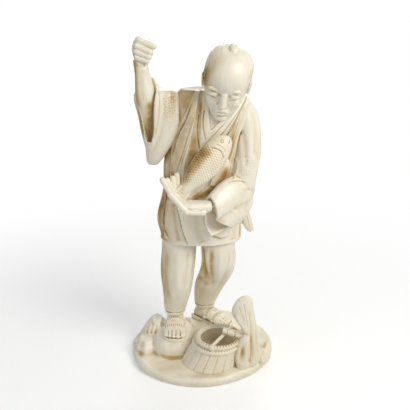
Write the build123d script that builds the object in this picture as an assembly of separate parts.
from build123d import *
import os
from math import cos, pi, radians, sin

# A carved okimono: a bowed fisherman with one fist raised and a fish in the crook of his other
# hand, on a rock plinth with a tub and a curled wrapper at his feet. It is built as sectional
# carvings are: separate carved pieces that meet on cut faces and are held by turned pegs.
# X runs to the viewer's right, Y away from the viewer and Z up, in millimetres. The origin is
# the middle of the plinth's underside. "right" and "left" are the figure's own sides.

# How a carved form is described: a table of stations, each with five shares, namely how far
# along the form it lies, how far its centre is moved across and out, and how wide and deep it is.
RING_POINTS = 8
SQUARENESS_SHARE = 2.25

# Plinth
BASE_WIDTH = 80.0
BASE_DEPTH = 66.0
FLOOR_HEIGHT = 5.0
BOULDER_HEIGHT = 10.0
BOULDER_WIDTH = 25.0
BOULDER_DEPTH = 27.0
LEDGE_HEIGHT = 8.0
LEDGE_WIDTH = 34.0
LEDGE_DEPTH = 26.0
ROCK_HEIGHT = 8.0
ROCK_WIDTH = 13.0
ROCK_DEPTH = 17.0
BASE_OUTLINE_SHARES = (
    (-0.995, 0.15), (-0.955, -0.15), (-0.89, -0.40), (-0.69, -0.71), (-0.415, -0.90),
    (-0.08, -0.995), (0.31, -0.92), (0.70, -0.64), (0.93, -0.27), (1.0, 0.09),
    (0.98, 0.42), (0.78, 0.74), (0.42, 0.94), (0.0, 1.0), (-0.45, 0.94), (-0.82, 0.65),
)  # fmt: skip
BASE_SIDE_SHARES = ((0.0, 0.975), (0.25, 1.0), (0.7, 0.995), (1.0, 0.955))
BOULDER_SHARES = (
    (-0.30, 0.0, 0.0, 1.00, 1.00),
    (0.25, 0.0, 0.0, 1.04, 1.02),
    (0.75, 0.0, 0.0, 0.94, 0.97),
    (1.00, 0.0, 0.0, 0.74, 0.90),
)
LEDGE_SHARES = (
    (-0.30, 0.0, 0.0, 1.08, 1.10),
    (0.35, 0.0, 0.02, 1.00, 1.00),
    (0.80, 0.0, 0.04, 0.93, 0.92),
    (1.00, 0.0, 0.05, 0.86, 0.84),
)
ROCK_CORNER_SHARES = ((-0.5, -0.2), (-0.15, -0.5), (0.42, -0.4), (0.5, 0.2), (0.1, 0.5), (-0.4, 0.4))
ROCK_TOP_SHARE = 0.55
ROCK_SHOULDER_SHARE = 0.92
ROCK_PLACE_SHARES = (
    (-0.39, -0.02, 0.75, 10, 1.0),
    (0.365, 0.06, 1.1, -12, 1.22),
    (0.375, -0.14, 0.65, 40, 0.95),
)
SLOPE_HEIGHT = 13.0
SLOPE_WIDTH = 19.0
SLOPE_DEPTH = 22.0
SLOPE_PLACE_SHARES = (-0.348, 0.12)
SLOPE_SHARES = (
    (-0.30, 0.0, 0.0, 0.90, 0.90),
    (0.30, 0.03, 0.0, 0.84, 0.88),
    (0.65, 0.09, 0.02, 0.60, 0.72),
    (1.00, 0.12, 0.04, 0.26, 0.44),
)
BOULDER_SHIFT = -5.5
LEDGE_SHIFT_X = 6.0
LEDGE_SHIFT_Y = -4.0

# Feet in straw sandals
FOOT_LENGTH = 24.0
FOOT_WIDTH = 12.6
FOOT_HEIGHT = 7.4
SOLE_THICKNESS = 1.6
TOE_RADIUS = 1.45
ANKLE_SHARE = 0.28
ANKLE_RADIUS = 4.2
LEFT_FOOT_TURN = 52.0
FOOT_SHARES = (
    (0.02, 0.0, 0.20, 0.42, 0.50),
    (0.12, 0.0, 0.34, 0.66, 0.86),
    (0.30, 0.0, 0.42, 0.76, 1.02),
    (0.50, 0.0, 0.34, 0.84, 0.82),
    (0.70, 0.0, 0.22, 0.92, 0.58),
    (0.86, 0.0, 0.14, 0.92, 0.42),
    (0.94, 0.0, 0.10, 0.76, 0.30),
)
TOE_SHARES = (
    (0.36, 0.93, 1.20),
    (0.16, 0.96, 1.0),
    (-0.02, 0.95, 0.95),
    (-0.19, 0.93, 0.9),
    (-0.35, 0.90, 0.85),
)
SOLE_SHARES = (
    (0.0, 0.10), (0.30, -0.02), (0.42, 0.12), (0.40, 0.40), (0.50, 0.75), (0.44, 0.96), (0.22, 1.04),
    (-0.22, 1.02), (-0.45, 0.93), (-0.48, 0.72), (-0.40, 0.40), (-0.42, 0.12), (-0.30, -0.02),
)  # fmt: skip

# Legs in close trousers
LEG_LENGTH = 47.0
LEG_WIDTH = 18.4
LEG_DEPTH = 19.0
LEG_TENON = 8.0
TENON_SHARE = 0.92
RIGHT_HIP_X = -12.0
LEFT_HIP_X = 9.6
HIP_Y = 2.0
RIGHT_LEG_SHARES = (
    (0.00, -0.16, 0.21, 0.60, 0.58),
    (0.05, -0.16, 0.21, 0.66, 0.64),
    (0.25, -0.10, 0.12, 0.81, 0.80),
    (0.50, -0.07, 0.02, 0.96, 0.95),
    (0.75, -0.03, 0.00, 1.01, 1.00),
    (1.00, 0.00, 0.00, 0.98, 0.96),
)
LEFT_LEG_SHARES = (
    (0.00, -0.42, 0.84, 0.62, 0.58),
    (0.06, -0.41, 0.83, 0.69, 0.66),
    (0.22, -0.33, 0.68, 0.84, 0.78),
    (0.40, -0.21, 0.42, 0.96, 0.88),
    (0.60, -0.05, 0.15, 1.00, 0.92),
    (0.80, -0.02, 0.02, 1.00, 0.94),
    (1.00, -0.04, 0.00, 0.96, 0.92),
)

# Coat: the trunk of the figure, with a short skirt
COAT_HEIGHT = 80.0
COAT_WIDTH = 42.0
COAT_DEPTH = 27.0
COAT_WALL = 2.2
COAT_Y = 3.0
COAT_SHARES = (
    (0.00, -0.015, 0.00, 1.02, 1.00),
    (0.08, -0.020, 0.00, 1.04, 1.02),
    (0.26, -0.020, -0.02, 0.98, 1.00),
    (0.43, 0.000, -0.06, 0.93, 0.96),
    (0.60, 0.026, -0.11, 0.90, 0.93),
    (0.76, 0.090, -0.17, 0.86, 0.90),
    (0.89, 0.115, -0.20, 0.88, 0.82),
    (0.965, 0.110, -0.18, 0.80, 0.64),
    (1.00, 0.080, -0.16, 0.62, 0.46),
)
LAPEL_RISE = 0.9
COLLAR_RISE = 0.5
ROBE_DROP = 1.1
SKIN_DROP = 1.9
FRONT_CUT_SHARE = -0.22
ROBE_FRONT_SHARES = (
    (0.03, 1.12), (-0.10, 0.765), (-0.19, 0.555), (-0.225, 0.39), (-0.10, 0.34),
    (0.10, 0.42), (0.20, 0.57), (0.28, 0.715), (0.54, 0.97), (0.54, 1.12),
)  # fmt: skip
RIGHT_LAPEL_SHARES = (
    (0.03, 1.12), (-0.10, 0.765), (-0.19, 0.555), (-0.225, 0.37), (-0.385, 0.37),
    (-0.345, 0.66), (-0.23, 0.82), (-0.065, 1.0), (-0.065, 1.12),
)  # fmt: skip
LEFT_LAPEL_SHARES = (
    (0.54, 1.12), (0.54, 0.96), (0.28, 0.715), (0.20, 0.57), (0.10, 0.42), (0.27, 0.40),
    (0.36, 0.565), (0.45, 0.74), (0.62, 0.95), (0.62, 1.12),
)  # fmt: skip
SKIN_FRONT_SHARES = ((0.10, 1.12), (0.085, 0.92), (0.105, 0.765), (0.49, 0.975), (0.49, 1.12))
RIGHT_COLLAR_SHARES = (
    (0.04, 1.12), (-0.01, 0.72), (0.0, 0.62), (0.06, 0.66), (0.13, 0.765), (0.085, 0.92), (0.10, 1.12),
)  # fmt: skip
LEFT_COLLAR_SHARES = (
    (0.54, 1.12), (0.54, 0.955), (0.02, 0.60), (-0.04, 0.64), (0.105, 0.765), (0.49, 0.985), (0.49, 1.12),
)  # fmt: skip

# Head and neck
HEAD_HEIGHT = 32.0
HEAD_WIDTH = 22.4
HEAD_DEPTH = 26.5
NECK_WIDTH = 13.5
HEAD_BOW = 27.0
HEAD_ROLL = 6.5
HEAD_TURN = 8.0
HEAD_SHARES = (
    (-0.50, 0.0, -0.28, 0.26, 0.22),
    (-0.45, 0.0, -0.22, 0.46, 0.40),
    (-0.34, 0.0, -0.12, 0.68, 0.62),
    (-0.18, 0.0, -0.04, 0.85, 0.82),
    (0.00, 0.0, 0.00, 0.95, 0.93),
    (0.16, 0.0, 0.02, 1.00, 1.00),
    (0.30, 0.0, 0.04, 0.93, 0.93),
    (0.42, 0.0, 0.06, 0.70, 0.70),
    (0.485, 0.0, 0.07, 0.36, 0.38),
)
HEAD_PLACE_SHARES = (0.289, -0.5, 1.065)
NECK_FOOT_SHARES = (0.238, -0.259, 0.85)
NECK_TOP_SHARES = (0.0, 0.03, -0.22)
NECK_SHARES = ((0.0, 0.0, 0.0, 1.15, 1.05), (0.5, 0.0, 0.0, 0.95, 0.95), (1.0, 0.0, 0.0, 0.95, 0.95))
NOSE_RADIUS = 1.55
NOSE_TOP_SHARES = (0.0, -0.445, 0.02)
NOSE_TIP_SHARES = (0.0, -0.50, -0.15)
EYE_PLACE_SHARES = (0.205, -0.40, 0.0)
LIP_PLACE_SHARES = (0.0, -0.415, -0.29)
EAR_PLACE_SHARES = (0.49, 0.057, -0.03)
TOPKNOT_PLACE_SHARES = (0.04, 0.13, 0.485)
TOPKNOT_RISE_SHARE = 0.9
EAR_HEIGHT = 7.6
EAR_DEPTH = 4.6
EAR_THICKNESS = 2.4
EYE_WIDTH = 4.6
LIP_WIDTH = 6.0
TOPKNOT_LENGTH = 6.5
TOPKNOT_WIDTH = 4.2

# Raised right arm
RIGHT_SLEEVE_HEIGHT = 37.0
RIGHT_SLEEVE_WIDTH = 22.0
RIGHT_SLEEVE_DEPTH = 15.0
RIGHT_SLEEVE_SHARES = (
    (0.00, -0.02, 0.00, 0.24, 0.50),
    (0.09, 0.02, 0.00, 0.40, 0.74),
    (0.24, 0.10, 0.00, 0.60, 0.90),
    (0.45, 0.18, 0.00, 0.92, 1.00),
    (0.66, 0.20, 0.00, 1.08, 1.00),
    (0.84, 0.12, 0.00, 1.06, 0.94),
    (0.95, 0.08, 0.00, 0.96, 0.80),
    (1.00, 0.05, 0.00, 0.72, 0.58),
)
SLEEVE_LIP_HEIGHT = 11.5
RIGHT_SLEEVE_PLACE_SHARES = (-0.56, -0.26, 0.5375)
SLEEVE_LIP_WIDTH = 13.0
SLEEVE_LIP_DEPTH = 14.0
SLEEVE_LIP_PLACE_SHARES = (-0.602, -0.26, 0.925)
SLEEVE_LIP_SHARES = (
    (0.00, 0.00, 0.00, 1.00, 1.00),
    (0.40, 0.00, 0.00, 0.96, 0.90),
    (0.75, 0.04, 0.04, 0.56, 0.64),
    (1.00, 0.14, 0.08, 0.15, 0.26),
)
SLEEVE_MOUTH_HEIGHT = 34.0
SLEEVE_MOUTH_WIDTH = 11.0
SLEEVE_MOUTH_DEPTH = 13.0
SLEEVE_MOUTH_PLACE_SHARES = (-0.602, -0.444, 0.6875)
SLEEVE_MOUTH_SHARES = (
    (0.00, 0.00, 0.00, 0.22, 0.30),
    (0.10, 0.00, 0.00, 0.40, 0.52),
    (0.25, 0.00, 0.00, 0.50, 0.76),
    (0.50, -0.08, 0.00, 0.72, 0.92),
    (0.72, -0.155, 0.00, 0.97, 1.00),
    (1.00, -0.18, 0.00, 1.05, 1.05),
)
RIGHT_ELBOW_SHARES = (-0.57, -0.28, 0.6825)
RIGHT_WRIST_SHARES = (-0.681, -0.33, 1.1425)
FOREARM_LENGTH = 38.0
FOREARM_RADIUS = 4.8
FOREARM_SHARES = (
    (-0.09, 0.0, 0.0, 0.50, 0.50),
    (0.10, 0.0, 0.0, 0.64, 0.64),
    (0.35, 0.0, 0.0, 0.82, 0.82),
    (0.60, 0.0, 0.0, 1.00, 1.00),
    (0.75, 0.0, 0.0, 0.86, 0.88),
    (0.95, 0.0, 0.0, 0.68, 0.74),
    (1.06, 0.0, 0.0, 0.66, 0.74),
)
FIST_WIDTH = 9.0
FIST_HEIGHT = 12.6
FIST_DEPTH = 8.6
FIST_SHIFT_SHARE = 0.18
FINGER_RADIUS = 1.65
FINGER_TAPER_SHARE = 0.95
FIST_FINGER_SHARES = (
    ((-0.12, 0.13, 0.36), (-0.02, -0.33, 0.42), (0.68, -0.40, 0.13), 1.0),
    ((-0.24, 0.11, 0.17), (-0.17, -0.38, 0.22), (0.44, -0.45, -0.06), 0.98),
    ((-0.29, 0.14, -0.02), (-0.23, -0.40, 0.01), (0.35, -0.45, -0.22), 0.96),
    ((-0.30, 0.16, -0.21), (-0.27, -0.39, -0.19), (0.23, -0.43, -0.37), 0.9),
    ((0.34, 0.22, -0.17), (0.43, -0.03, 0.07), (0.30, -0.19, 0.31), 1.06),
)

# Left arm, bent across the body
LEFT_SLEEVE_HEIGHT = 61.0
LEFT_SLEEVE_WIDTH = 13.6
LEFT_SLEEVE_DEPTH = 14.0
LEFT_SLEEVE_SHARES = (
    (0.00, -0.13, -0.34, 0.46, 0.56),
    (0.07, -0.10, -0.32, 0.82, 0.86),
    (0.20, -0.05, -0.25, 1.02, 1.00),
    (0.36, 0.02, -0.18, 1.02, 1.00),
    (0.52, 0.16, -0.10, 0.99, 0.96),
    (0.69, 0.18, -0.03, 0.96, 0.93),
    (0.82, 0.12, 0.00, 0.91, 0.89),
    (0.92, 0.00, 0.03, 0.80, 0.80),
    (1.00, -0.14, 0.03, 0.50, 0.54),
)
CUFF_LENGTH = 22.0
CUFF_HEIGHT = 27.0
CUFF_THICKNESS = 12.0
CUFF_WALL = 1.3
CUFF_DEPTH = 5.0
LEFT_SLEEVE_PLACE_SHARES = (0.495, -0.204, 0.1875)
LEFT_ELBOW_SHARES = (0.50, -0.37, 0.325)
LEFT_CUFF_SHARES = (0.12, -0.889, 0.3125)
CUFF_SHARES = (
    (0.00, 0.0, 0.00, 0.95, 0.80),
    (0.30, 0.0, -0.02, 1.00, 0.97),
    (0.65, 0.0, -0.07, 0.95, 0.95),
    (1.00, 0.0, -0.16, 0.80, 0.80),
)
CUFF_EDGE_SHARES = (
    (0.10, 0.45), (0.12, 0.345), (0.138, 0.27), (0.23, 0.22), (0.335, 0.18), (0.36, 0.15), (0.36, 0.05),
    (-0.20, 0.05), (-0.20, 0.45),
)  # fmt: skip
LEFT_FOREARM_SHARES = (0.286, -0.685, 0.32)
LEFT_WRIST_SHARES = (0.0714, -1.0, 0.3375)
LEFT_PALM_SHARES = (-0.2143, -1.111, 0.356)
LEFT_FOREARM_RADIUS = 3.3
PALM_LENGTH = 13.0
PALM_WIDTH = 8.4
PALM_THICKNESS = 4.6
LEFT_FINGER_RADIUS = 1.5
PALM_SHARES = (
    (-0.12, 0.00, 0.00, 0.70, 1.10),
    (0.25, -0.05, 0.00, 0.92, 1.05),
    (0.60, -0.14, 0.00, 1.06, 0.95),
    (0.95, -0.20, 0.00, 1.04, 0.78),
    (1.06, -0.20, 0.00, 0.84, 0.60),
)
LEFT_FINGER_SHARES = (
    ((0.19, -0.17, 0.18), (0.19, -0.17, 0.82), (-0.03, 0.42, 1.44), 1.1),
    ((0.00, 0.04, 0.96), (-0.05, 0.30, 1.34), (-0.17, 0.91, 1.75), 1.0),
    ((-0.11, 0.06, 0.94), (-0.20, 0.42, 1.32), (-0.28, 0.86, 1.55), 1.0),
    ((-0.215, 0.06, 0.90), (-0.33, 0.43, 1.21), (-0.38, 0.92, 1.33), 0.97),
    ((-0.32, 0.06, 0.84), (-0.45, 0.41, 1.06), (-0.49, 1.02, 1.16), 0.9),
)

# Fish
FISH_LENGTH = 35.0
FISH_HEIGHT = 13.6
FISH_THICKNESS = 9.4
TAIL_LENGTH = 5.5
FIN_THICKNESS = 0.9
FIN_LENGTH = 4.8
FIN_PLACE_SHARES = (0.48, 0.0, 0.70)
FISH_TAIL_SHARES = (-0.214, -1.0, 0.4225)
FISH_HEAD_SHARES = (0.338, -0.585, 0.745)
FISH_SHARES = (
    (0.00, 0.0, 0.0, 0.26, 0.26),
    (0.12, 0.0, 0.0, 0.42, 0.42),
    (0.30, 0.0, 0.0, 0.78, 0.80),
    (0.52, 0.0, 0.0, 1.00, 1.00),
    (0.72, 0.0, 0.0, 0.95, 0.98),
    (0.87, 0.0, 0.0, 0.74, 0.82),
    (0.96, 0.0, 0.0, 0.48, 0.56),
    (1.00, 0.0, 0.0, 0.24, 0.30),
)

# Tub of upright slats, with a rope rim and a carrying rod
TUB_HEIGHT = 14.5
TUB_WIDTH = 30.6
TUB_RIM_WIDTH = 22.6
TUB_WALL = 1.7
TUB_FLOOR = 4.0
TUB_LEAN_X = 4.8
TUB_LEAN_Y = -1.4
TUB_X = 4.4
TUB_Y = -12.8
SLAT_COUNT = 17
SLAT_GROOVE = 0.5
HOOP_RADIUS = 1.15
HOOP_RISE_SHARES = (0.80, 1.0)
TUB_KNOT_WIDTH = 3.6
TUB_KNOT_TURN = 252.0
ROD_RADIUS = 0.9
ROD_START_SHARES = (-0.157, -0.482)
ROD_END_SHARES = (0.34, 0.377)

# Curled wrapper and its stalk
WRAPPER_HEIGHT = 40.0
WRAPPER_WIDTH = 12.0
WRAPPER_DEPTH = 8.0
WRAPPER_X = 26.5
WRAPPER_Y = -17.5
WRAPPER_SHARES = (
    (0.00, -0.08, -0.06, 0.72, 0.80),
    (0.06, -0.04, -0.06, 0.84, 0.92),
    (0.20, 0.10, -0.02, 0.66, 0.90),
    (0.42, 0.02, 0.06, 0.64, 0.86),
    (0.58, -0.14, 0.12, 0.76, 0.82),
    (0.70, -0.32, 0.16, 0.94, 0.76),
    (0.85, -0.38, 0.20, 0.88, 0.62),
    (0.95, -0.30, 0.22, 0.62, 0.44),
    (1.00, -0.24, 0.22, 0.26, 0.24),
)
LOBE_HEIGHT = 19.0
LOBE_WIDTH = 8.0
LOBE_DEPTH = 7.0
LOBE_PLACE_SHARES = (-0.37, -0.34)
LOBE_SHARES = (
    (0.00, 0.00, 0.00, 0.80, 0.90),
    (0.25, 0.00, 0.00, 1.00, 1.00),
    (0.60, 0.04, 0.00, 0.98, 0.96),
    (0.85, 0.14, 0.00, 0.78, 0.76),
    (1.00, 0.26, 0.00, 0.44, 0.44),
)
STALK_RADIUS = 2.3
STALK_END_SHARE = 0.75
STALK_REACH = 15.0
STALK_DROP = 3.0
STALK_RISE_SHARE = 0.39

# Sash ends that hang from the back of the left hip
SASH_LENGTH = 22.0
SASH_WIDTH = 5.4
SASH_THICKNESS = 2.0
SASH_KNOT = 5.0
SASH_PLACE_SHARES = (0.495, 0.15, 0.28)
SASH_LEAN = 0.26
SASH_SHARES = (
    (0.00, 0.00, 0.0, 0.50, 1.00),
    (0.30, 0.00, 0.0, 0.72, 0.90),
    (0.70, 0.00, 0.0, 0.92, 0.80),
    (0.90, 0.04, 0.0, 0.80, 0.70),
    (1.00, 0.14, 0.0, 0.40, 0.60),
)
SASH_LAYER_SHARES = ((0.0, 0.0, 1.0), (-0.30, 0.85, 0.86))

# Pegs
PEG_RADIUS = 1.5
SMALL_PEG_RADIUS = 0.8
PEG_CLEARANCE = 0.05
PEG_DEPTH = 5.0
SMALL_PEG_DEPTH = 3.0
RIGHT_SHOULDER_SHARES = (-0.338, -0.185, 0.75)
LEFT_SHOULDER_SHARES = (0.524, -0.185, 0.725)
NECK_PEG_SHARES = (0.238, -0.111, 0.85)
FISH_PEG_SHARES = (0.31, -0.6, 0.706)
SASH_PEG_SHARES = (0.457, 0.15, 0.28)
OVERRUN = 1.0

# Heights that follow from the pieces below them
RIGHT_GROUND_Z = FLOOR_HEIGHT + BOULDER_HEIGHT
LEFT_GROUND_Z = FLOOR_HEIGHT + LEDGE_HEIGHT
ANKLE_RISE = SOLE_THICKNESS + FOOT_HEIGHT
HEM_Z = RIGHT_GROUND_Z + ANKLE_RISE + LEG_LENGTH
LEFT_LEG_LENGTH = HEM_Z - LEFT_GROUND_Z - ANKLE_RISE

UP = Vector(0, 0, 1)
TURN = 2 * pi
RIGHT_FOOT_AIM = Vector(0, -1, 0)
LEFT_FOOT_AIM = Vector(sin(radians(LEFT_FOOT_TURN)), -cos(radians(LEFT_FOOT_TURN)), 0)


def ring(plane, centre, half_width, half_depth):
    """A closed smooth outline in a plane, a little squarer than an ellipse."""
    points = []
    for step in range(RING_POINTS):
        angle = TURN * step / RING_POINTS
        c, s = cos(angle), sin(angle)
        reach = (abs(c) ** SQUARENESS_SHARE + abs(s) ** SQUARENESS_SHARE) ** (-1 / SQUARENESS_SHARE)
        local = centre + Vector(half_width * reach * c, half_depth * reach * s, 0)
        points.append(plane.from_local_coords(local))
    return Wire([Spline(points, periodic=True)])


def lofted(plane, length, width, depth, shares, grow=0.0):
    """A carved form through the stations of a table, swollen all round by grow."""
    rings = []
    for along, across, out, wide, deep in shares:
        centre = Vector(across * width, out * depth, along * length)
        rings.append(ring(plane, centre, wide * width / 2 + grow, deep * depth / 2 + grow))
    return Solid.make_loft(rings)


def ellipsoid(plane, across, out, along):
    """An egg shape with the given full sizes along the plane's own directions."""
    return plane.location * scale(Sphere(1), by=(across / 2, out / 2, along / 2))


def upright(x, y, z):
    """A plane at a point, with its normal up and its X along the object's X."""
    return Plane(origin=(x, y, z))


def aimed(origin, target, across):
    """A plane at origin whose normal points to target and whose X leans towards across."""
    normal = (Vector(target) - Vector(origin)).normalized()
    side = Vector(across) - normal * Vector(across).dot(normal)
    return Plane(origin=origin, x_dir=side.normalized(), z_dir=normal)


def rod(start, end, radius, extra=0.0):
    """A round rod between two points, lengthened by extra at each end."""
    axis = Vector(end) - Vector(start)
    plane = Plane(origin=Vector(start) - axis.normalized() * extra, z_dir=axis.normalized())
    return Solid.make_cylinder(radius, axis.length + 2 * extra, plane)


def digit(points, radius):
    """A finger: a ball at each joint and round segments between them, thinner at each joint."""
    radii = [radius * FINGER_TAPER_SHARE**joint for joint in range(len(points))]
    root, *others = [Pos(*point) * Sphere(ball) for point, ball in zip(points, radii)]
    for start, end, first, last in zip(points, points[1:], radii, radii[1:]):
        axis = end - start
        others.append(Solid.make_cone(first, last, axis.length, Plane(origin=start, z_dir=axis)))
    return root + others


def biggest(shape):
    """The one solid of a piece, without the slivers that a cut leaves."""
    return max(shape.solids(), key=lambda solid: solid.volume)


def front_prism(shares):
    """A prism through the front of the coat, from an outline in shares of the coat."""
    cut_y = COAT_Y + FRONT_CUT_SHARE * COAT_DEPTH
    points = [(across * COAT_WIDTH, cut_y, HEM_Z + up * COAT_HEIGHT) for across, up in shares]
    face = make_face(Polyline(*points, close=True))
    return extrude(face, amount=COAT_DEPTH, dir=(0, -1, 0))


def coat_point(across, out, up):
    """A point in shares of the coat, from the middle of its hem."""
    return Vector(across * COAT_WIDTH, COAT_Y + out * COAT_DEPTH, HEM_Z + up * COAT_HEIGHT)


def ankle_point(hip_x, shares, ground_z):
    """The middle of a leg's lower end."""
    across, out = shares[0][1:3]
    return Vector(hip_x + across * LEG_WIDTH, HIP_Y + out * LEG_DEPTH, ground_z + ANKLE_RISE)


RIGHT_ANKLE = ankle_point(RIGHT_HIP_X, RIGHT_LEG_SHARES, RIGHT_GROUND_Z)
LEFT_ANKLE = ankle_point(LEFT_HIP_X, LEFT_LEG_SHARES, LEFT_GROUND_Z)


def make_rock(x, y, height, turn, size):
    """A faceted rock that stands out of the plinth's floor."""
    rings = []
    width, depth = size * ROCK_WIDTH, size * ROCK_DEPTH
    for up, spread in ((0.0, 1.0), (ROCK_TOP_SHARE, ROCK_SHOULDER_SHARE), (1.0, ROCK_TOP_SHARE)):
        plane = upright(x, y, FLOOR_HEIGHT - OVERRUN + up * (height + OVERRUN)).rotated((0, 0, turn))
        points = [plane.from_local_coords(Vector(a * spread * width, b * spread * depth, 0))
                  for a, b in ROCK_CORNER_SHARES]
        rings.append(Wire.make_polygon(points, close=True))
    return Solid.make_loft(rings, ruled=True)


def make_base():
    """The plinth: a slab with a worn outline, a boulder, a ledge, a slope and three rocks."""
    rings = []
    for up, spread in BASE_SIDE_SHARES:
        points = [Vector(x * spread * BASE_WIDTH / 2, y * spread * BASE_DEPTH / 2, up * FLOOR_HEIGHT)
                  for x, y in BASE_OUTLINE_SHARES]
        rings.append(Wire([Spline(points, periodic=True)]))
    base = Solid.make_loft(rings)
    boulder = upright(RIGHT_ANKLE.X, RIGHT_ANKLE.Y + BOULDER_SHIFT, FLOOR_HEIGHT)
    base += lofted(boulder, BOULDER_HEIGHT, BOULDER_WIDTH, BOULDER_DEPTH, BOULDER_SHARES)
    ledge = upright(LEFT_ANKLE.X + LEDGE_SHIFT_X, LEFT_ANKLE.Y + LEDGE_SHIFT_Y, FLOOR_HEIGHT)
    base += lofted(ledge, LEDGE_HEIGHT, LEDGE_WIDTH, LEDGE_DEPTH, LEDGE_SHARES)
    x_share, y_share = SLOPE_PLACE_SHARES
    slope = upright(x_share * BASE_WIDTH, y_share * BASE_DEPTH, FLOOR_HEIGHT)
    base += lofted(slope, SLOPE_HEIGHT, SLOPE_WIDTH, SLOPE_DEPTH, SLOPE_SHARES)
    for x_share, y_share, height_share, turn, size in ROCK_PLACE_SHARES:
        place = x_share * BASE_WIDTH, y_share * BASE_DEPTH
        base += make_rock(*place, height_share * ROCK_HEIGHT, turn, size)
    return base


def make_foot(ankle, aim, ground_z, inner):
    """A foot on a straw sole, with a short ankle under the trouser hem; inner is the big toe's side."""
    across = UP.cross(aim)
    heel = Vector(ankle.X, ankle.Y, ground_z) - aim * ANKLE_SHARE * FOOT_LENGTH
    lengthwise = Plane(origin=heel + UP * SOLE_THICKNESS, x_dir=across, z_dir=aim)
    foot = lofted(lengthwise, FOOT_LENGTH, FOOT_WIDTH, FOOT_HEIGHT, FOOT_SHARES)
    flat = Plane(origin=heel, x_dir=across, z_dir=UP)
    points = [flat.from_local_coords(Vector(inner * a * FOOT_WIDTH, -b * FOOT_LENGTH, 0))
              for a, b in SOLE_SHARES]
    outline = Face(Wire([Spline(points, periodic=True)]))
    sole = extrude(outline, amount=SOLE_THICKNESS, dir=UP)
    trim = Plane(origin=heel + aim * FOOT_LENGTH / 2, x_dir=across, z_dir=UP).location
    foot = foot - trim * Pos(0, 0, -FOOT_HEIGHT) * Box(3 * FOOT_WIDTH, 2 * FOOT_LENGTH, 2 * FOOT_HEIGHT)
    shank = upright(ankle.X, ankle.Y, ankle.Z - FOOT_HEIGHT / 2)
    foot += [sole, Solid.make_cylinder(ANKLE_RADIUS, FOOT_HEIGHT / 2, shank)]
    toes = []
    for a, b, big in TOE_SHARES:
        centre = heel + across * inner * a * FOOT_WIDTH + aim * b * FOOT_LENGTH
        centre += UP * (SOLE_THICKNESS + big * TOE_RADIUS / 2)
        toes.append(Pos(*centre) * Sphere(big * TOE_RADIUS))
    return foot + toes


def make_leg(hip_x, length, ankle, shares):
    """A trouser leg from the ankle hem to the tenon that fills the coat's recess."""
    plane = upright(hip_x, HIP_Y, ankle.Z)
    last = shares[-1]
    tenon = (1 + LEG_TENON / length, last[1], last[2], TENON_SHARE * last[3], TENON_SHARE * last[4])
    return lofted(plane, length, LEG_WIDTH, LEG_DEPTH, (*shares, tenon))


def coat_form(grow=0.0):
    """The coat's outer shape, swollen by grow."""
    return lofted(upright(0, COAT_Y, HEM_Z), COAT_HEIGHT, COAT_WIDTH, COAT_DEPTH, COAT_SHARES, grow)


def make_coat():
    """The coat with its raised lapels, the cut for the robe and the recess for the legs."""
    raised = coat_form(LAPEL_RISE)
    right_lapel = (raised & front_prism(RIGHT_LAPEL_SHARES)) - right_sleeve_form()
    left_lapel = (raised & front_prism(LEFT_LAPEL_SHARES)) - [left_sleeve_form(), cuff_form()]
    coat = (coat_form() + [right_lapel, left_lapel]) - front_prism(ROBE_FRONT_SHARES)
    deep = Pos(0, COAT_Y, HEM_Z) * Box(2 * COAT_WIDTH, 2 * COAT_DEPTH, 2 * LEG_TENON)
    return coat - (coat_form(-COAT_WALL) & deep)


def make_robe():
    """The inner robe that shows between the lapels, with its two crossed collars."""
    robe = coat_form(-ROBE_DROP) & front_prism(ROBE_FRONT_SHARES)
    for outline in (RIGHT_COLLAR_SHARES, LEFT_COLLAR_SHARES):
        robe += (coat_form(COLLAR_RISE - ROBE_DROP) & front_prism(outline)) & front_prism(ROBE_FRONT_SHARES)
    return robe - front_prism(SKIN_FRONT_SHARES)


def head_plane():
    """The head's own directions: Z to the crown, Y to the back, X to the figure's left ear."""
    bow, roll, turn = radians(HEAD_BOW), radians(HEAD_ROLL), radians(HEAD_TURN)
    crown = Vector(sin(roll), -sin(bow), cos(bow)).normalized()
    ear = Vector(cos(turn), -sin(turn), 0)
    ear = (ear - crown * ear.dot(crown)).normalized()
    return Plane(origin=coat_point(*HEAD_PLACE_SHARES), x_dir=ear, z_dir=crown)


def make_head():
    """The head, bowed and tilted, with the neck and bare chest that plug into the robe."""
    plane = head_plane()
    head = lofted(plane, HEAD_HEIGHT, HEAD_WIDTH, HEAD_DEPTH, HEAD_SHARES)

    def at(across, out, up):
        local = Vector(across * HEAD_WIDTH, out * HEAD_DEPTH, up * HEAD_HEIGHT)
        return plane.from_local_coords(local)

    def turned(place):
        return Plane(origin=at(*place), x_dir=plane.x_dir, z_dir=plane.z_dir)

    features = [digit([at(*NOSE_TIP_SHARES), at(*NOSE_TOP_SHARES)], NOSE_RADIUS)]
    for side in (-1, 1):
        across, out, up = EAR_PLACE_SHARES
        features.append(ellipsoid(turned((side * across, out, up)), EAR_THICKNESS, EAR_DEPTH, EAR_HEIGHT))
        across, out, up = EYE_PLACE_SHARES
        features.append(ellipsoid(turned((side * across, out, up)), EYE_WIDTH, EYE_WIDTH / 2, EYE_WIDTH / 2))
    features.append(ellipsoid(turned(LIP_PLACE_SHARES), LIP_WIDTH, LIP_WIDTH / 2, LIP_WIDTH / 3))
    knot_rise = TOPKNOT_WIDTH * TOPKNOT_RISE_SHARE
    features.append(ellipsoid(turned(TOPKNOT_PLACE_SHARES), TOPKNOT_WIDTH, TOPKNOT_LENGTH, knot_rise))
    foot = coat_point(*NECK_FOOT_SHARES)
    top = at(*NECK_TOP_SHARES)
    slope = aimed(foot, top, plane.x_dir)
    features.append(lofted(slope, (top - foot).length, NECK_WIDTH, NECK_WIDTH, NECK_SHARES))
    return head + [*features, coat_form(-SKIN_DROP) & front_prism(SKIN_FRONT_SHARES)]


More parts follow.
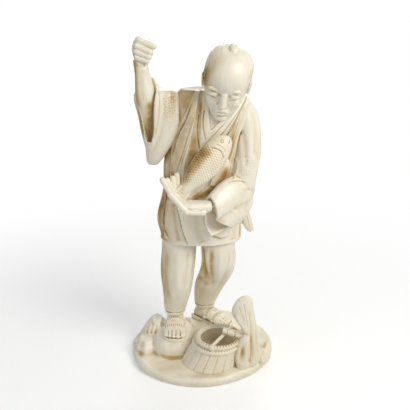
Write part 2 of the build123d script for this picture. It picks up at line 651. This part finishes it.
def right_sleeve_form():
    """The outer shape of the raised arm's sleeve."""
    body = upright(*coat_point(*RIGHT_SLEEVE_PLACE_SHARES))
    return lofted(body, RIGHT_SLEEVE_HEIGHT, RIGHT_SLEEVE_WIDTH, RIGHT_SLEEVE_DEPTH, RIGHT_SLEEVE_SHARES)


def left_sleeve_form():
    """The outer shape of the upper part of the bent arm's sleeve."""
    body = upright(*coat_point(*LEFT_SLEEVE_PLACE_SHARES))
    return lofted(body, LEFT_SLEEVE_HEIGHT, LEFT_SLEEVE_WIDTH, LEFT_SLEEVE_DEPTH, LEFT_SLEEVE_SHARES)


def make_right_sleeve():
    """The wide sleeve of the raised arm, hollowed where the forearm comes out of it."""
    lip = upright(*coat_point(*SLEEVE_LIP_PLACE_SHARES))
    mouth = upright(*coat_point(*SLEEVE_MOUTH_PLACE_SHARES))
    sleeve = right_sleeve_form() - coat_form()
    sleeve += lofted(lip, SLEEVE_LIP_HEIGHT, SLEEVE_LIP_WIDTH, SLEEVE_LIP_DEPTH, SLEEVE_LIP_SHARES)
    return sleeve - lofted(mouth, SLEEVE_MOUTH_HEIGHT, SLEEVE_MOUTH_WIDTH, SLEEVE_MOUTH_DEPTH,
                           SLEEVE_MOUTH_SHARES)


def forearm_aim():
    """The direction from the raised elbow to its fist."""
    return (coat_point(*RIGHT_WRIST_SHARES) - coat_point(*RIGHT_ELBOW_SHARES)).normalized()


def make_right_forearm(sleeve):
    """The raised forearm with its closed fist, cut off where it meets the inside of its sleeve."""
    elbow = coat_point(*RIGHT_ELBOW_SHARES)
    aim = forearm_aim()
    plane = Plane(origin=elbow, x_dir=Vector(1, 0, 0) - aim * aim.X, z_dir=aim)
    arm = lofted(plane, FOREARM_LENGTH, 2 * FOREARM_RADIUS, 2 * FOREARM_RADIUS, FOREARM_SHARES) - sleeve
    fist = elbow + aim * (FOREARM_LENGTH + FIST_HEIGHT / 2) + plane.x_dir * FIST_SHIFT_SHARE * FIST_WIDTH
    palm = Plane(origin=fist, x_dir=plane.x_dir, z_dir=aim)
    arm += ellipsoid(palm, FIST_WIDTH, FIST_DEPTH, FIST_HEIGHT)
    for *joints, big in FIST_FINGER_SHARES:
        points = [palm.from_local_coords(Vector(a * FIST_WIDTH, b * FIST_DEPTH, c * FIST_HEIGHT))
                  for a, b, c in joints]
        arm += digit(points, big * FINGER_RADIUS)
    return arm


def cuff_plane():
    """From the bent elbow along the forearm, with Y up."""
    elbow, wrist = coat_point(*LEFT_ELBOW_SHARES), coat_point(*LEFT_CUFF_SHARES)
    aim = (wrist - elbow).normalized()
    return Plane(origin=elbow, x_dir=UP.cross(aim).normalized(), z_dir=aim)


def cuff_form(grow=0.0):
    """The outer shape of the hanging cuff, swollen by grow."""
    return lofted(cuff_plane(), CUFF_LENGTH, CUFF_THICKNESS, CUFF_HEIGHT, CUFF_SHARES, grow)


def make_left_sleeve():
    """The sleeve of the bent arm: a full upper part and a deep hanging cuff."""
    floor = cuff_plane().offset(CUFF_LENGTH - CUFF_DEPTH)
    mouth = extrude(floor * Rectangle(2 * CUFF_THICKNESS, 2 * CUFF_HEIGHT), amount=CUFF_DEPTH)
    middle = cuff_plane() * Pos(CUFF_THICKNESS, 0, 0)
    front = middle * Box(2 * CUFF_THICKNESS, 2 * CUFF_HEIGHT, 2 * CUFF_LENGTH)
    inside = cuff_form(-CUFF_WALL)
    slant = front_prism(CUFF_EDGE_SHARES)
    sleeve = left_sleeve_form() + cuff_form()
    return sleeve - [coat_form(), inside & mouth, front & slant, inside & slant]


def make_left_hand():
    """The hand under the fish, palm up, with its forearm inside the cuff."""
    elbow, wrist = coat_point(*LEFT_FOREARM_SHARES), coat_point(*LEFT_WRIST_SHARES)
    aim = (coat_point(*LEFT_PALM_SHARES) - wrist).normalized()
    palm = Plane(origin=wrist, x_dir=UP.cross(aim).normalized(), z_dir=aim)
    hand = lofted(palm, PALM_LENGTH, PALM_WIDTH, PALM_THICKNESS, PALM_SHARES)
    hand += [rod(elbow, wrist, LEFT_FOREARM_RADIUS), Pos(*wrist) * Sphere(LEFT_FOREARM_RADIUS)]
    for *joints, big in LEFT_FINGER_SHARES:
        points = [palm.from_local_coords(Vector(*joint) * PALM_LENGTH) for joint in joints]
        hand += digit(points, big * LEFT_FINGER_RADIUS)
    return hand


def make_fish():
    """The fish that lies from the hand up to the chest, with its tail and one fin."""
    tail, head = coat_point(*FISH_TAIL_SHARES), coat_point(*FISH_HEAD_SHARES)
    plane = aimed(tail, head, (1, 0, -1))
    fish = lofted(plane, FISH_LENGTH, FISH_HEIGHT, FISH_THICKNESS, FISH_SHARES)
    fish += ellipsoid(plane, FISH_HEIGHT / 2, 2 * FIN_THICKNESS, 2 * TAIL_LENGTH)
    across, out, along = FIN_PLACE_SHARES
    place = plane.from_local_coords(Vector(across * FISH_HEIGHT, out, along * FISH_LENGTH))
    fin = Plane(origin=place, x_dir=plane.x_dir, z_dir=plane.z_dir)
    return fish + ellipsoid(fin, FIN_LENGTH, FIN_THICKNESS, FIN_LENGTH)


def tub_radius(rise):
    """The tub's outer radius at a share of its height."""
    return (TUB_WIDTH + rise * (TUB_RIM_WIDTH - TUB_WIDTH)) / 2


def tub_plane(rise):
    """The level plane at a share of the tub's height, at the middle of the leaning tub."""
    return upright(TUB_X + rise * TUB_LEAN_X, TUB_Y + rise * TUB_LEAN_Y, FLOOR_HEIGHT + rise * TUB_HEIGHT)


def tub_side(rise, angle):
    """A point on the tub's outside."""
    return tub_plane(rise).origin + Vector(cos(angle), sin(angle), 0) * tub_radius(rise)


def tub_form(start, end, grow=0.0):
    """The tub's leaning round body between two shares of its height."""
    circles = [Wire.make_circle(tub_radius(rise) + grow, tub_plane(rise)) for rise in (start, end)]
    return Solid.make_loft(circles, ruled=True)


def make_tub():
    """The hollow tub with its slats, two hoops at the rim and the knot of the upper hoop."""
    grooves = []
    for slat in range(SLAT_COUNT):
        angle = TURN * slat / SLAT_COUNT
        grooves.append(rod(tub_side(0, angle), tub_side(1, angle), SLAT_GROOVE, OVERRUN))
    hoops = [Solid.make_torus(tub_radius(rise), HOOP_RADIUS, tub_plane(rise)) for rise in HOOP_RISE_SHARES]
    knot = upright(*tub_side(1, radians(TUB_KNOT_TURN)))
    hoops.append(ellipsoid(knot, TUB_KNOT_WIDTH, TUB_KNOT_WIDTH, TUB_KNOT_WIDTH))
    tub = (tub_form(0, 1) - grooves) + hoops
    return tub - tub_form(TUB_FLOOR / TUB_HEIGHT, 1 + 2 * HOOP_RADIUS / TUB_HEIGHT, -TUB_WALL)


def make_tub_rod():
    """The carrying rod, let into the rim on both sides."""
    ends = [tub_plane(1).origin + Vector(x * TUB_RIM_WIDTH, y * TUB_RIM_WIDTH, HOOP_RADIUS)
            for x, y in (ROD_START_SHARES, ROD_END_SHARES)]
    return rod(*ends, ROD_RADIUS)


def make_wrapper():
    """The tall curled wrapper that stands beside the tub, with its rolled lower lobe."""
    foot = upright(WRAPPER_X, WRAPPER_Y, FLOOR_HEIGHT)
    wrapper = lofted(foot, WRAPPER_HEIGHT, WRAPPER_WIDTH, WRAPPER_DEPTH, WRAPPER_SHARES)
    across, out = LOBE_PLACE_SHARES
    lobe = upright(WRAPPER_X + across * WRAPPER_WIDTH, WRAPPER_Y + out * WRAPPER_DEPTH, FLOOR_HEIGHT)
    return wrapper + lofted(lobe, LOBE_HEIGHT, LOBE_WIDTH, LOBE_DEPTH, LOBE_SHARES)


def make_stalk():
    """The stalk that comes out of the wrapper and lies over the tub's rim."""
    start = Vector(WRAPPER_X, WRAPPER_Y, FLOOR_HEIGHT + STALK_RISE_SHARE * WRAPPER_HEIGHT)
    end = start + Vector(-STALK_REACH, STALK_DROP, STALK_DROP)
    plane = aimed(start, end, UP)
    return Solid.make_cone(STALK_RADIUS, STALK_END_SHARE * STALK_RADIUS, (end - start).length, plane)


def make_sash():
    """The knotted sash with its two hanging ends."""
    knot = coat_point(*SASH_PLACE_SHARES)
    sash = ellipsoid(upright(*knot), SASH_KNOT, SASH_KNOT, SASH_KNOT)
    for across, out, size in SASH_LAYER_SHARES:
        start = knot + Vector(across * SASH_WIDTH, out * SASH_THICKNESS, 0)
        plane = aimed(start, start + Vector(SASH_LEAN, 0, -1), (1, 0, 0))
        sash += lofted(plane, size * SASH_LENGTH, SASH_WIDTH, SASH_THICKNESS, SASH_SHARES)
    return sash


def peg_line(middle, aim, behind, ahead):
    """The two ends of a peg that crosses a joint."""
    aim = aim.normalized()
    return middle - aim * behind, middle + aim * ahead


def large_peg_lines():
    """The joints held by the large pegs, with the pieces each peg enters."""
    ceiling = HEM_Z + LEG_TENON
    right, left = Vector(RIGHT_HIP_X, HIP_Y, ceiling), Vector(LEFT_HIP_X, HIP_Y, ceiling)
    joints = (
        (right, UP, ("right_leg", "coat")),
        (left, UP, ("left_leg", "coat")),
        (coat_point(*RIGHT_SHOULDER_SHARES), Vector(1, 0, 0), ("right_sleeve", "coat")),
        (coat_point(*LEFT_SHOULDER_SHARES), Vector(1, 0, 0), ("left_sleeve", "coat")),
        (coat_point(*NECK_PEG_SHARES), UP, ("head", "coat")),
    )
    return [(peg_line(middle, aim, PEG_DEPTH, PEG_DEPTH), names) for middle, aim, names in joints]


def small_peg_lines():
    """The joints held by the small pegs, with the pieces each peg enters."""
    cuff = cuff_plane()
    cuff_floor = cuff.origin + cuff.z_dir * (CUFF_LENGTH - CUFF_DEPTH)
    left_aim = coat_point(*LEFT_WRIST_SHARES) - coat_point(*LEFT_FOREARM_SHARES)
    right_foot = coat_point(*RIGHT_ELBOW_SHARES) + forearm_aim() * FOREARM_SHARES[0][0] * FOREARM_LENGTH
    wrapper_foot = Vector(WRAPPER_X + WRAPPER_SHARES[0][1] * WRAPPER_WIDTH, WRAPPER_Y, FLOOR_HEIGHT)
    joints = (
        (cuff_floor, left_aim, ("left_sleeve", "left_hand")),
        (right_foot, forearm_aim(), ("right_sleeve", "right_forearm")),
        (coat_point(*FISH_PEG_SHARES), Vector(0, 1, 0), ("fish", "coat")),
        (Vector(TUB_X, TUB_Y, FLOOR_HEIGHT), UP, ("tub", "base")),
        (wrapper_foot, UP, ("wrapper", "base")),
        (coat_point(*SASH_PEG_SHARES), Vector(1, 0, 0), ("coat", "sash_ends")),
    )
    return [(peg_line(middle, aim, SMALL_PEG_DEPTH, SMALL_PEG_DEPTH), names) for middle, aim, names in joints]


def leg_dowel_lines():
    """The dowels that run from the rock through a foot into its leg."""
    lines = []
    sides = (RIGHT_ANKLE, RIGHT_GROUND_Z, "right"), (LEFT_ANKLE, LEFT_GROUND_Z, "left")
    for ankle, ground_z, side in sides:
        ends = Vector(ankle.X, ankle.Y, ground_z - PEG_DEPTH), ankle + UP * PEG_DEPTH
        lines.append((ends, ("base", f"{side}_foot", f"{side}_leg")))
    return lines


def make_pieces():
    """All carved pieces, each cut by the neighbours it meets."""
    base = make_base()
    coat, robe, head = make_coat(), make_robe(), make_head()
    coat, robe = coat - head, robe - head
    right_foot = make_foot(RIGHT_ANKLE, RIGHT_FOOT_AIM, RIGHT_GROUND_Z, 1)
    left_foot = make_foot(LEFT_ANKLE, LEFT_FOOT_AIM, LEFT_GROUND_Z, -1)
    right_leg = make_leg(RIGHT_HIP_X, LEG_LENGTH, RIGHT_ANKLE, RIGHT_LEG_SHARES) - coat
    left_leg = make_leg(LEFT_HIP_X, LEFT_LEG_LENGTH, LEFT_ANKLE, LEFT_LEG_SHARES) - coat
    right_sleeve, left_sleeve = make_right_sleeve(), make_left_sleeve()
    right_forearm = make_right_forearm(right_sleeve)
    fish = make_fish() - [coat_form(LAPEL_RISE), left_sleeve]
    left_hand = make_left_hand() - [fish, left_sleeve]
    tub_rod = make_tub_rod()
    tub = make_tub() - [base, right_foot, tub_rod]
    stalk = make_stalk() - [tub, tub_rod]
    wrapper = make_wrapper() - [base, tub, stalk]
    sash = make_sash() - coat_form()
    return {
        "base": base,
        "right_foot": right_foot,
        "left_foot": left_foot,
        "right_leg": right_leg,
        "left_leg": left_leg,
        "coat": coat,
        "inner_robe": robe,
        "head": head,
        "right_sleeve": right_sleeve,
        "right_forearm": right_forearm,
        "left_sleeve": left_sleeve,
        "left_hand": left_hand,
        "fish": fish,
        "tub": tub,
        "tub_rod": tub_rod,
        "wrapper": wrapper,
        "wrapper_stalk": stalk,
        "sash_ends": sash,
    }


def main():
    pieces = make_pieces()
    pegs = {
        "large_pegs": (PEG_RADIUS, large_peg_lines()),
        "small_pegs": (SMALL_PEG_RADIUS, small_peg_lines()),
        "leg_dowels": (PEG_RADIUS, leg_dowel_lines()),
    }
    sockets = {name: [] for name in pieces}
    for radius, lines in pegs.values():
        for ends, names in lines:
            for name in names:
                sockets[name].append(rod(*ends, radius + PEG_CLEARANCE, PEG_CLEARANCE))
    os.makedirs("parts", exist_ok=True)
    for name, piece in pieces.items():
        drilled = piece - sockets[name] if sockets[name] else piece
        export_step(biggest(drilled), f"parts/{name}.step")
    for name, (radius, lines) in pegs.items():
        group = Compound(children=[rod(*ends, radius) for ends, names in lines])
        export_step(group, f"parts/{name}.step")


if __name__ == "__main__":
    main()
